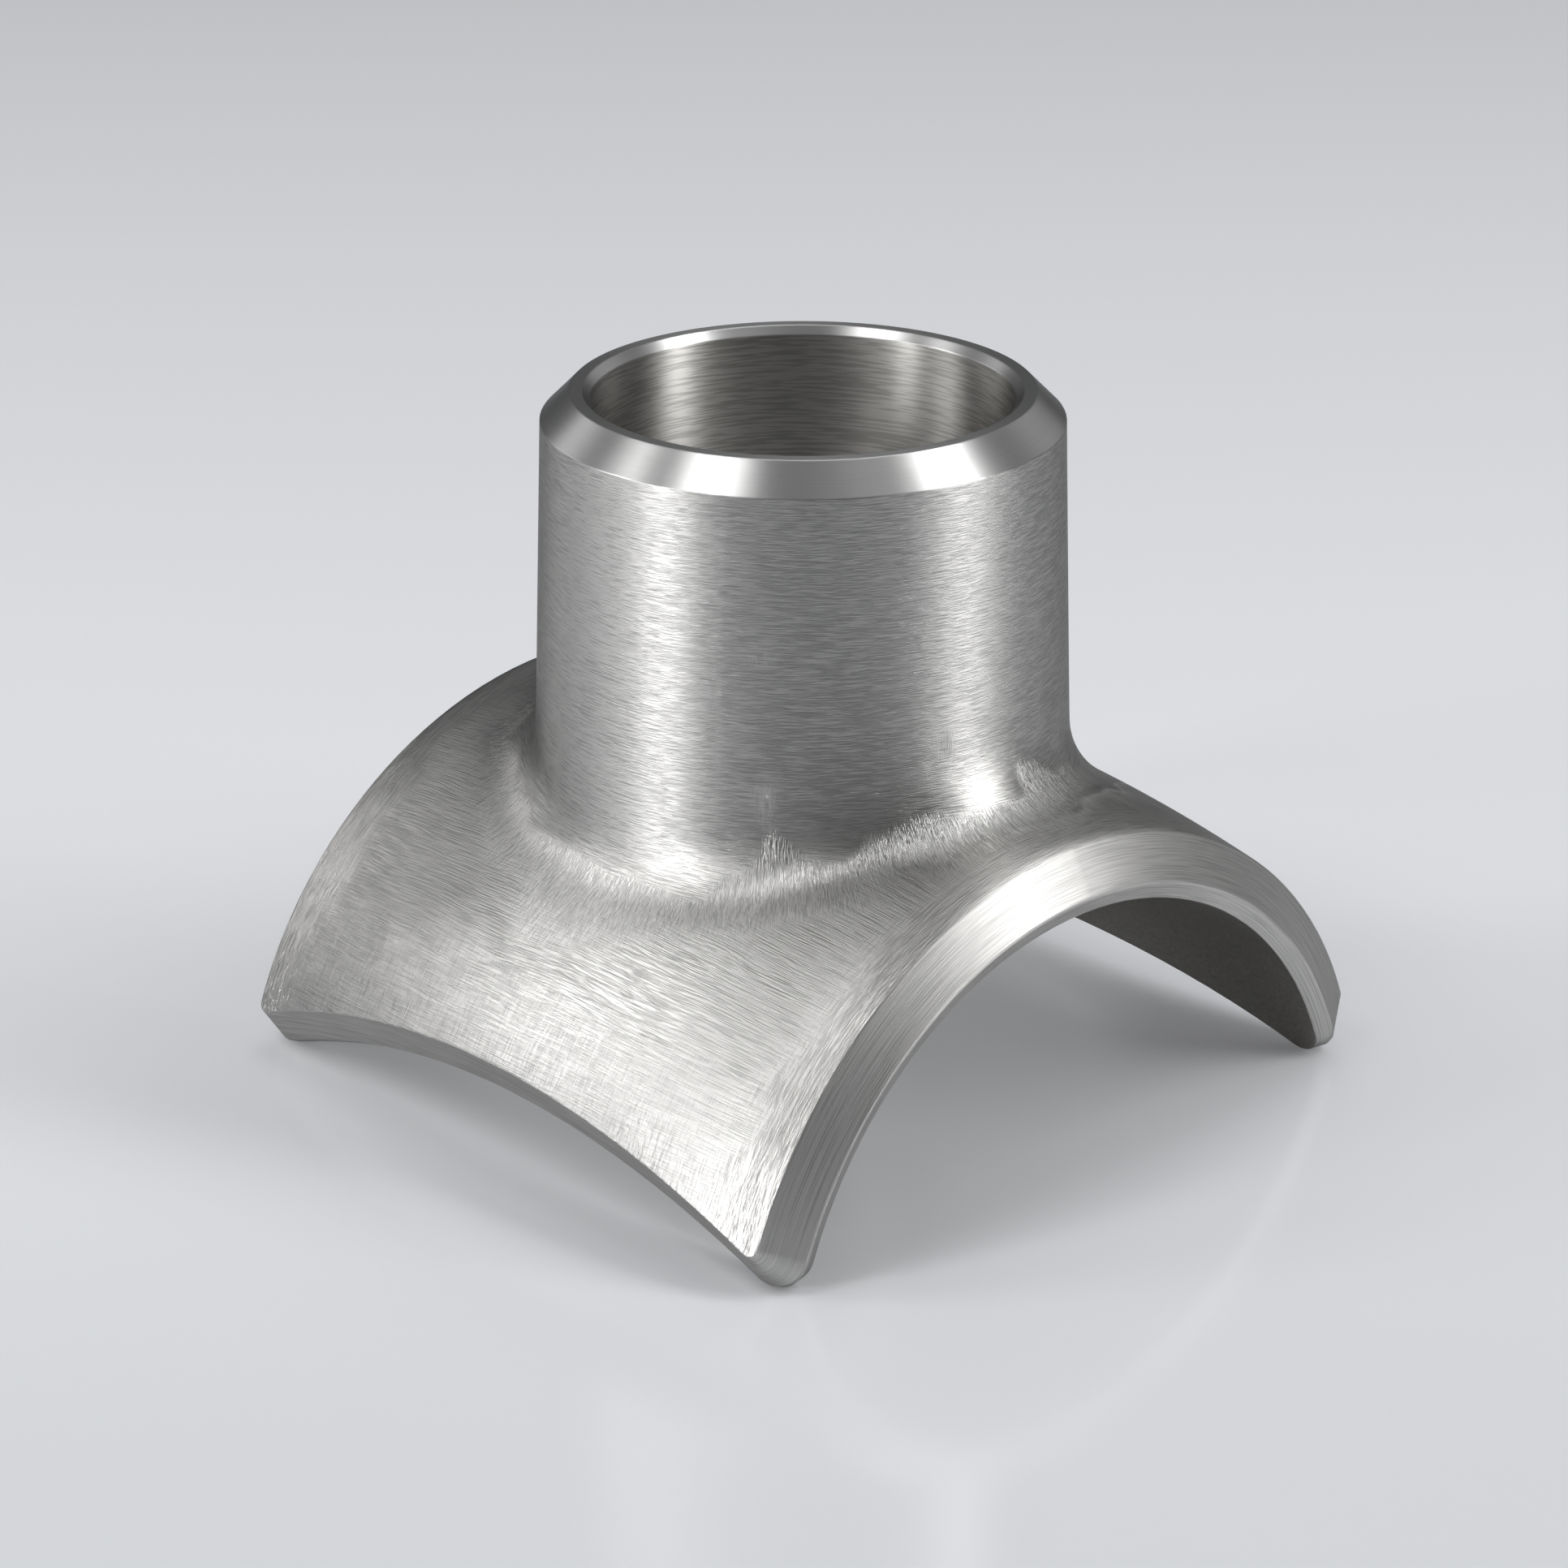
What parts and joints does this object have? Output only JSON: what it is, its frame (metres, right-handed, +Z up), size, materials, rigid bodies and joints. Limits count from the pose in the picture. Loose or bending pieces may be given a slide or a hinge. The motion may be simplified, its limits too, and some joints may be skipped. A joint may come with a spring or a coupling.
{
  "type": "branch outlet fitting",
  "caption": "Forged steel branch outlet: a round stem with a bevelled weld end on a curved saddle that fits over a run pipe and is welded round its bevelled rim.",
  "frame": {"origin": "under the stem's axis, on the level of the four feet", "axes": "+Z up along the stem, +X along the run pipe, +Y across it"},
  "size_m": [0.093, 0.098, 0.0825],
  "materials": {
    "steel": "fine brushed stainless steel, turned bright on the weld bevels and smoother grey inside"
  },
  "bodies": {
    "root": {"branch_outlet": "steel"}
  },
  "joints": []
}
